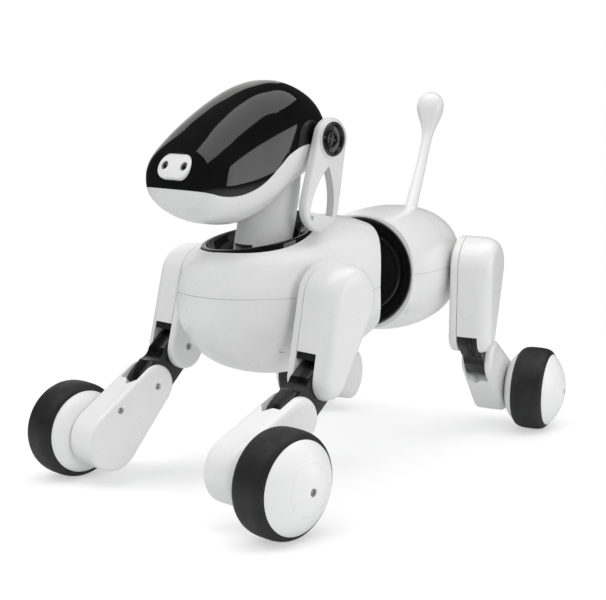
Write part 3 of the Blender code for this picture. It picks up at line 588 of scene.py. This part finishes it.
def make_chest():
    side_x, radius = 1.5, 40.0
    mouth = turned([(radius, -60), (radius, 60)], "Y", (side_x - radius, 0, WAIST_Z), 144)
    cuts = [cut(egg(CHEST, WALL, 3, count=56)), cut(mouth),
            cut(loft([collar_ellipse(0.0, z) for z in (125, 190)])), cut(hip_bore(HIP_FRONT))]
    dimples = []
    for s in (1, -1):
        outwards = Vector((0.42, s * 0.66, -0.62)).normalized()
        dimples.append(cut(along(Vector((81.5, s * 36, 89.4)) - outwards, outwards, 6, 3.2)))
    split_shell(("chest_upper", "chest_lower"), egg(CHEST), cuts, FRONT_SEAM_Z, "root", "chest",
                ("chest_upper_shell", "chest_lower_shell"), ((), dimples))
    profile = [(GAP, -6.0), (GAP, 0.1), (0.55, 0.85), (1.4, 1.3), (2.5, 1.35), (3.5, 0.95), (5.0, -0.3),
               (7.5, -2.6), (9.2, -4.2), (9.5, -4.7), (9.5, -8.0), (6.5, -9.5)]
    rings = [[p + Vector((0, 0, lift)) for p in collar_ellipse(inset)] for inset, lift in profile]
    piece("collar", loft(rings, closed=True), "root", "gloss", "chest", ("neck_collar",))
    well = [(9.9, -5.2), (9.9, -25.0), (11.0, -26.0), (11.0, -25.4), (10.6, -24.6), (10.6, -5.6)]
    rings = [[p + Vector((0, 0, lift)) for p in collar_ellipse(inset)] for inset, lift in well]
    piece("collar_well", loft(rings, closed=True), "root", "satin", "chest", ())
    rings = [super_ring(x, 77.5 + grow, 161.5 - grow, 41.2 - grow, 2.3, 96)
             for x, grow in ((7.2, 1.2), (8.4, 1.0))]
    wall = carve(loft(rings), cut(box(0, 30, -11.4, 11.4, WAIST_Z - 12.4, WAIST_Z + 12.4)))
    piece("waist_bulkhead", wall, "root", "satin", "chest", ())


# ---------------------------------------------------------------- rear body
def tail_ring(centre, slope, radius, count=48):
    """Circle square to the tail's slope."""
    slope = slope.normalized()
    across = Vector((0, 1, 0))
    other = slope.cross(across)
    return [centre + radius * (cos(2 * pi * k / count) * across + sin(2 * pi * k / count) * other)
            for k in range(count)]


def make_rear():
    mouth_r = WAIST_R - 1.0
    mouth = turned([(mouth_r, -46), (mouth_r, -28)], "X", (0, 0, WAIST_Z), 144)
    root = Vector((TAIL_ROWS[0][0], 0, TAIL_ROWS[0][1]))
    slope = Vector((TAIL_ROWS[1][0], 0, TAIL_ROWS[1][1])) - root
    ends = (root - 0.6 * slope, root + 1.8 * slope)
    tail_hole = moved(loft([tail_ring(end, slope, 6.0) for end in ends]), TAIL_BASE)
    cuts = [cut(egg(REAR, WALL, 3, count=56)), cut(mouth), cut(hip_bore(HIP_REAR)), cut(tail_hole)]
    below = [cut(turned([(BUTTON_R + GAP, 60), (BUTTON_R + GAP, 110)], "Z", (BUTTON_X, 0, 0), 64)),
             cut(box(PORT_X - 3.4, PORT_X + 3.4, -5.3, 5.3, 60, 110))]
    below += [cut(along((-36.6, s * 32.0, 99.0), (0, s * 0.81, -0.58), 6, 2.4)) for s in (1, -1)]
    split_shell(("rear_upper", "rear_lower"), egg(REAR), cuts, REAR_SEAM_Z, "rear", "rear_body",
                ("rear_upper_shell", "rear_lower_shell"), ((), below))
    make_waist(mouth_r - GAP, REAR[0][0])
    cap = [(4.7, -3.5), (5.3, -3.1), (BUTTON_R, -2.5), (BUTTON_R, 4.0), (3.0, 4.0), (3.0, 9.0)]
    piece("button_cap", turned(cap, "Z", (0, 0, 0), 64), "button", "black", "button", ("power_button",))
    make_tail()


def make_waist(outer, x):
    """Dished ring, a grey lip that is a painted highlight along its rim, and the drum that the waist pin
    passes through, at the mouth at x.
    """
    inner = 28.2
    ring = [(outer, x - 12), (outer, x - 1.2), (outer - 1.0, x - 0.9), (outer - 1.6, x - 0.9),
            (outer - 2.2, x - 1.6), (32.4, x - 3.2), (32.0, x - 4.0), (30.6, x - 4.6), (29.8, x - 6.2),
            (inner, x - 7.0), (inner, x - 12)]
    piece("waist_dish", turned(ring, "X", (0, 0, WAIST_Z), 144, True), "rear", "black", "rear_body",
          ("waist_ring",))
    # grey lip in the trim finish: painted highlight along the rim of the black dish
    lip = [(outer, x - 1.0), (outer, x - 0.3), (outer - 0.2, x), (outer - 0.5, x - 0.1),
           (outer - 0.6, x - 0.7)]
    piece("waist_lip_painted_highlight", turned(lip, "X", (0, 0, WAIST_Z), 144, True), "rear", "trim", "rear_body", ())
    face = x - 4.5
    drum = [(25.5, face - 8), (27.6, face - 6), (27.6, face - 1.5), (27.0, face - 0.4), (26.0, face),
            (24.6, face - 0.5), (23.8, face - 1.5), (20.0, face - 2.5)]
    drum = carve(turned(drum, "X", (0, 0, WAIST_Z), 144),
                 join(box(x - 10, WAIST_X, -5.0, 5.0, WAIST_Z - 6.5, WAIST_Z + 6.5)),
                 join(turned([(7.0, WAIST_Z - 6.5), (7.0, WAIST_Z + 6.5)], "Z", (WAIST_X, 0, 0), 64)),
                 cut(turned([(3.9, WAIST_Z - 30), (3.9, WAIST_Z + 30)], "Z", (WAIST_X, 0, 0), 48)))
    piece("waist_hub", drum, "rear", "black", "rear_body", ("waist_drum",))


def make_tail():
    rows = smooth_rows(TAIL_ROWS, 7)
    rings = []
    for i, row in enumerate(rows):
        before, after = rows[max(i - 1, 0)], rows[min(i + 1, len(rows) - 1)]
        slope = Vector((after[0] - before[0], 0, after[1] - before[1]))
        rings.append(tail_ring(Vector((row[0], 0, row[1])), slope, row[2]))
    piece("tail_stalk", loft(rings), "tail", "shell", "tail_body", ("tail",), angle=60)


# ---------------------------------------------------------------- neck and head
def make_neck():
    rings = []
    for i in range(49):
        t = i / 48
        z = -10 + (NECK_RISE.z + 17) * t
        bulge = 1 - (0.22 if t < 0.375 else 0.1) * abs(2 * t - 0.75) ** 2.5
        if abs(z - 27.5) < 0.8:
            bulge -= 0.02
        turns = [2 * pi * k / 72 for k in range(72)]
        rings.append([(NECK_RISE.x * t + 18.5 * bulge * cos(a), 16.5 * bulge * sin(a), z) for a in turns])
    lean, height = NECK_RISE.x, NECK_RISE.z
    neck = carve(loft(rings), cut(box(-40, 40, -7.5, 7.5, -30, 6.5)),
                 cut(turned([(3.2, -30), (3.2, 30)], "Y", (0, 0, 0), 40)),
                 cut(box(lean - 30, lean + 30, -8.5, 8.5, height - 14, height + 30)),
                 cut(turned([(3.2, -30), (3.2, 30)], "Y", (lean, 0, height), 40)))
    # the neck finish is darkened white, painted shade under the head
    piece("neck", neck, "neck", "neck", "neck", ("neck_shell",))


def head_seam(below):
    """Everything on one side of the joint between visor and jaw."""
    offset = -GAP / 2 if below else GAP / 2
    line = [(x, z + offset) for x, z in smooth_rows(JAW_LINE, 8)]
    back, front, far = 10, 150, 100 if below else 300
    outline = [(back, far), (back, line[0][1])] + line + [(front, far)]
    return loft([[(x, y, z) for x, z in outline] for y in (-70, 70)])


def nose_pill(layers, width=27.0, height=15.4, count=72):
    """Rounded plate from (depth, growth) layers along the snout's normal."""
    half = width / 2 - height / 2
    rings = []
    for depth, grow in layers:
        r = height / 2 + grow
        ring = []
        for k in range(count):
            a = 2 * pi * (k + 0.5) / count
            ring.append((depth, half * (1 if cos(a) > 0 else -1) + r * cos(a), r * sin(a)))
        rings.append(ring)
    return moved(loft(rings), NOSE_AT, -NOSE_TILT)


def on_nose(bm):
    return moved(bm, NOSE_AT, -NOSE_TILT)


def make_head():
    bore = [(4.6, -60), (4.6, 60)]
    for name, node, below, mat, slot in (("visor", "head_visor", False, "gloss", "gloss_black"),
                                         ("jaw", "head_jaw", True, "shell", "gloss_white")):
        cuts = [cut(moved(egg(HEAD, WALL, 3, 2.5, 56), HEAD_SHIFT)), cut(turned(bore, "Y", (-9, 0, 21), 40)),
                keep(moved(head_seam(below), HEAD_SHIFT))]
        if below:
            cuts.append(cut(box(-25, 28, -19.5, 19.5, -60, 8)))
        else:
            cuts.append(cut(nose_pill([(-8, GAP), (8, GAP)])))
        shell = carve(moved(egg(HEAD, power=2.5), HEAD_SHIFT), *cuts)
        piece(name, shell, "head", mat, "head", (node,))
    plate = carve(nose_pill([(-3.0, 0), (-0.2, 0), (0.2, -0.12), (0.45, -0.35), (0.6, -0.8)]),
                  *[cut(on_nose(turned([(2.7, -9), (2.7, 9)], "X", (0, EYE_Y * s, 0), 48))) for s in (1, -1)])
    piece("nose", plate, "head", "shell", "head", ("nose_plate",))
    for side, word in ((1, "left"), (-1, "right")):
        rim = [(2.6, -2.5), (2.6, 0.3), (2.3, 0.45), (2.0, 0.3), (1.9, -0.3), (1.9, -2.5)]
        piece("eye_rim_" + word, on_nose(turned(rim, "X", (0, EYE_Y * side, 0), 48, True)), "head", "trim",
              "head", ())
        lens = [(1.8, -3), (1.8, -0.2), (1.4, 0.15), (0.8, 0.35), (0.1, 0.42)]
        piece("eye_" + word, on_nose(turned(lens, "X", (0, EYE_Y * side, 0), 48)), "head", "glass", "head",
              ("eye_lens_" + word,))
        make_ear(side, word)


def ear_loop():
    """Opening of the ear, flat at its sill and pointed at its crown."""
    sill, crown, half, steps = -45.0, -16.0, 10.0, 24
    outline = []
    for s, order in ((1, range(steps + 1)), (-1, range(steps - 1, -1, -1))):
        for k in order:
            t = k / steps
            outline.append((s * half * (1 - t ** 2.2) - 0.3, sill + (crown - sill) * t))
    return loft([[(x, y, z) for x, z in outline] for y in (-9, 9)])


def make_ear(side, word):
    place, body = "ear_" + word, word + "_ear"
    layers = list(reversed(rounded(-1.0, -2.8, 1.5, 2.0, 6))) + rounded(1.0, 2.8, 1.5, 2.0, 6)
    slot = box(6.0, 9.2, 1.6, 4.0, -49.6, -47.0)
    plate = carve(leg_slab(12.8, 15.3, 40.3, layers, 36), cut(ear_loop()),
                  cut(turned([(10.3, -6), (10.3, 6)], "Y", (0, 0, 0), 96)), cut(slot))
    # the ear finish is darkened shell white, painted shade
    piece("ear_plate_" + word, plate, place, "ear", body, ("ear_" + word,), side=side)
    lip = [(10.3, 2.0), (10.3, 3.4), (10.7, 3.7), (11.4, 3.5), (11.7, 2.6), (11.7, 2.0)]
    piece("ear_lip_" + word, turned(lip, "Y", (0, 0, 0), 96, True), place, "ear", body, (), side=side)
    cap = [(4.0, -8.5), (4.0, -3.2), (9.9, -3.2), (9.9, 2.3), (9.5, 2.9), (8.7, 3.0), (8.2, 2.2),
           (7.9, 1.5), (5.4, 1.3), (5.0, 2.0), (4.4, 2.2), (3.8, 1.9), (3.5, 1.1), (0.2, 1.1)]
    disc = carve(turned(cap, "Y", (0, 0, 0), 96),
                 *[join(box(-7.9, 7.9, 0.5, 1.7, -0.5, 0.5)), join(box(-0.5, 0.5, 0.5, 1.7, -7.9, 7.9))])
    piece("ear_disc_" + word, disc, place, "black", body, ("ear_cap_" + word,), side)


# ---------------------------------------------------------------- legs
def make_thigh(word, side):
    place, body = "thigh_" + word, "thigh_" + word
    dome = [(SLOT_IN + GAP, 0.35), (SLOT_IN + GAP + 0.35, 0.0), (0.0, 0.0)]
    dome += rounded(1.5, LEG_OUT, 9.2, 2.4, 16)[1:]
    hollow = leg_slab(HIP_R - WALL, KNEE_R - WALL, THIGH - 20, [(-20, 0.0), (9.0, 0.8), (11.0, 3.0)], 16)
    top = -THIGH + KNEE_R - 1.0
    if "rear" in word:
        cuts = [cut(box(-40, 2, -30, SLOT_OUT, -120, top)),
                cut(turned([(KNEE_R - 1.0, -30), (KNEE_R - 1.0, SLOT_OUT)], "Y", (0, 0, -THIGH), 64)),
                cut(box(-40, 40, -30, SLOT_OUT, -120, -THIGH - KNEE_R * 0.15))]
    else:
        cuts = [cut(box(-40, 40, -30, SLOT_OUT, -120, top))]
    outer = carve(leg_slab(HIP_R, KNEE_R, THIGH, dome, 40), cut(hollow), *cuts)
    piece("thigh_cover_" + word, outer, place, "shell", body, ("thigh_outer_" + word,), side=side)
    if "front" in word:
        make_knee_block(word, side, top)
    layers = list(reversed(rounded(LEG_IN + 2.8, LEG_IN, 3.0, 2.2, 8)))
    layers += [(SLOT_IN - 0.35, 0.0), (SLOT_IN, 0.35)]
    boss = [(11.6, LEG_IN - 2.4), (12.0, LEG_IN - 2.0), (12.0, LEG_IN + 1.0)]
    inner = carve(leg_slab(HIP_R, KNEE_R, THIGH, layers, 40),
                  join(turned(boss, "Y", (0, 0, 0), 64)),
                  cut(turned([(4.3, -30), (4.3, 30)], "Y", (0, 0, 0), 40)),
                  cut(along((0.5, LEG_IN + 1.6, -THIGH + 1.5), (0, -1, 0), 6, 2.3)))
    piece("thigh_plate_" + word, inner, place, "shell", body, ("thigh_inner_" + word,), side=side)
    screw("thigh_screw_" + word, place, body, (0.5, LEG_IN + 0.9, -THIGH + 1.5), (0, -1, 0), side)


def make_knee_block(word, side, top):
    """Black corners above the link's round head, cut back so that the link can swing fully forward."""
    block = leg_slab(HIP_R - 0.9, KNEE_R - 0.9, THIGH, [(SLOT_IN + 0.2, 0.0), (SLOT_OUT - 0.1, 0.0)], 40)
    block = carve(block, keep(box(-40, 40, -30, 30, -THIGH + 4.5, top - 0.05)),
                  cut(turned([(KNEE_R - 1.1, -30), (KNEE_R - 1.1, 30)], "Y", (0, 0, -THIGH), 96)),
                  cut(moved(box(-5, 60, -30, 30, -60, KNEE_R - 0.9), (0, 0, -THIGH), 20)))
    piece("knee_block_" + word, block, "thigh_" + word, "black", "thigh_" + word, (), side)


def make_link(word, side):
    layers = [(SLOT_IN + GAP, 1.0), (SLOT_IN + 0.7, 0.35), (SLOT_IN + 1.3, 0.0), (SLOT_OUT - 1.3, 0.0),
              (SLOT_OUT - 0.7, 0.35), (SLOT_OUT - GAP, 1.0)]
    slab = leg_slab(KNEE_R - 1.4, ANKLE_R - 1.4, LINK, layers, 32)
    cuts = [cut(turned([(8.0, -30), (8.0, 30)], "Y", (17.5, 0, -LINK / 2), 64))]
    for y in (-1.0, 0.8, 2.6):
        floor = turned([(KNEE_R - 2.0, -30), (KNEE_R - 2.0, 30)], "Y", (0, 0, 0), 64)
        cuts.append(cut(carve(box(2.0, 20.0, y - 0.35, y + 0.35, -KNEE_R, KNEE_R), cut(floor))))
    piece("knee_bone_" + word, carve(slab, *cuts), "link_" + word, "satin", "link_" + word,
          ("knee_link_" + word,), side)


def make_shin(word, side):
    place, body = "shin_" + word, "shin_" + word
    layers = (list(reversed(rounded(SHIN_IN + 3.4, SHIN_IN, 3.6, 2.3, 9)))
              + rounded(SHIN_OUT - 4.6, SHIN_OUT, 4.6, 2.3, 9))
    room = ANKLE_R - 0.9
    notch = moved(box(-3.2, 3.2, -3.2, 3.2, -40, 40), (0, 0, 0), 45, "Z")
    bmesh.ops.rotate(notch, matrix=Matrix.Rotation(radians(90), 3, "Y"), verts=notch.verts)
    bmesh.ops.translate(notch, vec=(40, -3.4, SHIN_SILL), verts=notch.verts)
    shell = carve(leg_slab(ANKLE_R, AXLE_R, SHIN, layers, 40),
                  cut(box(-40, 40, SLOT_IN, SLOT_OUT, SHIN_SILL, 40)),
                  cut(turned([(room, SLOT_IN), (room, SLOT_OUT)], "Y", (0, 0, 0), 96)),
                  cut(notch),
                  cut(turned([(3.6, 4), (3.6, 30)], "Y", (0, 0, -SHIN), 40)),
                  cut(along((0.0, SHIN_IN + 1.4, 0.0), (0, -1, 0), 6, 2.2)),
                  cut(along((11.5, SHIN_IN + 1.4, -29.0), (0, -1, 0), 6, 2.2)))
    piece("shin_cover_" + word, shell, place, "shell", body, ("shin_shell_" + word,), side=side)
    screw("shin_screw_top_" + word, place, body, (0.0, SHIN_IN + 0.8, 0.0), (0, -1, 0), side)
    screw("shin_screw_low_" + word, place, body, (11.5, SHIN_IN + 0.8, -29.0), (0, -1, 0), side)


def make_wheel(word, side):
    place, body = "wheel_" + word, "wheel_" + word
    low, high = HUB_MID - TYRE_HALF, HUB_MID + TYRE_HALF
    half = [(RIM_R - 0.1, 0.0), (RIM_R + 0.5, 0.15), (27.4, 0.75), (28.4, 1.8), (29.1, 3.2), (29.55, 4.8),
            (WHEEL_R - 0.1, 6.6), (WHEEL_R, 8.6)]
    tread = [(r, low + d) for r, d in half] + [(r, high - d) for r, d in reversed(half)]
    tread += [(23.5, high - 2), (23.5, low + 2)]
    piece("tyre_band_" + word, turned(tread, "Y", (0, 0, 0), 180, True), place, "tyre", body,
          ("tyre_" + word,), side, 40)
    hub = [(3.3, 6.0), (3.3, SHIN_OUT + 0.6), (12.9, SHIN_OUT + 0.6), (13.5, SHIN_OUT + 0.9),
           (14.2, 12.7), (17.2, 13.2), (20.2, 14.4), (22.6, 16.1), (24.4, 18.1), (RIM_R - 0.9, low - 0.3),
           (RIM_R - 0.6, low - 0.05), (23.2, low + 1.7), (23.2, high - 1.7), (RIM_R - 0.5, high + 0.05),
           (RIM_R - 0.4, high + 0.3)]
    sphere_r = (RIM_R ** 2 + DOME ** 2) / (2 * DOME)

    def height(r):
        return high + DOME - sphere_r + sqrt(sphere_r ** 2 - r ** 2)

    for r in (25.0, 23.0, 20.5, 18.0, 16.0, 15.2):
        hub.append((r, height(r)))
    for r, sunk in ((15.0, 0.12), (14.7, 0.12), (14.5, 0.0)):
        hub.append((r, height(r) - sunk))
    for r in (12.0, 9.0, 6.0, 4.0, 2.6):
        hub.append((r, height(r)))
    hub += [(2.3, height(2.3) - 0.2), (2.3, height(0) - 1.6)]
    piece("hub_" + word, turned(hub, "Y", (0, 0, 0), 180), place, "hub", body, ("wheel_hub_" + word,),
          side=side, angle=40)
    screw("hub_screw_" + word, place, body, (0, height(0) - 0.7, 0), (0, 1, 0), side, 1.9)


# ---------------------------------------------------------------- everything
def paint_inner_nodes():
    """Finishes of the CAD nodes that stay as they are."""
    rules = (("servo", "motor"), ("frame", "frame"), ("battery", "battery"), ("board", "board"),
             ("speaker", "satin"), ("port", "screw"))
    for name, obj in frame["nodes"].items():
        for word, mat in rules:
            if word in name:
                for material_slot in obj.material_slots:
                    material_slot.link = "OBJECT"
                    material_slot.material = FINISH[mat]


make_camera()
make_studio()
FINISH = make_finishes()
make_chest()
make_rear()
make_neck()
make_head()
for leg, leg_side in LEGS:
    make_thigh(leg, leg_side)
    make_link(leg, leg_side)
    make_shin(leg, leg_side)
    make_wheel(leg, leg_side)
paint_inner_nodes()
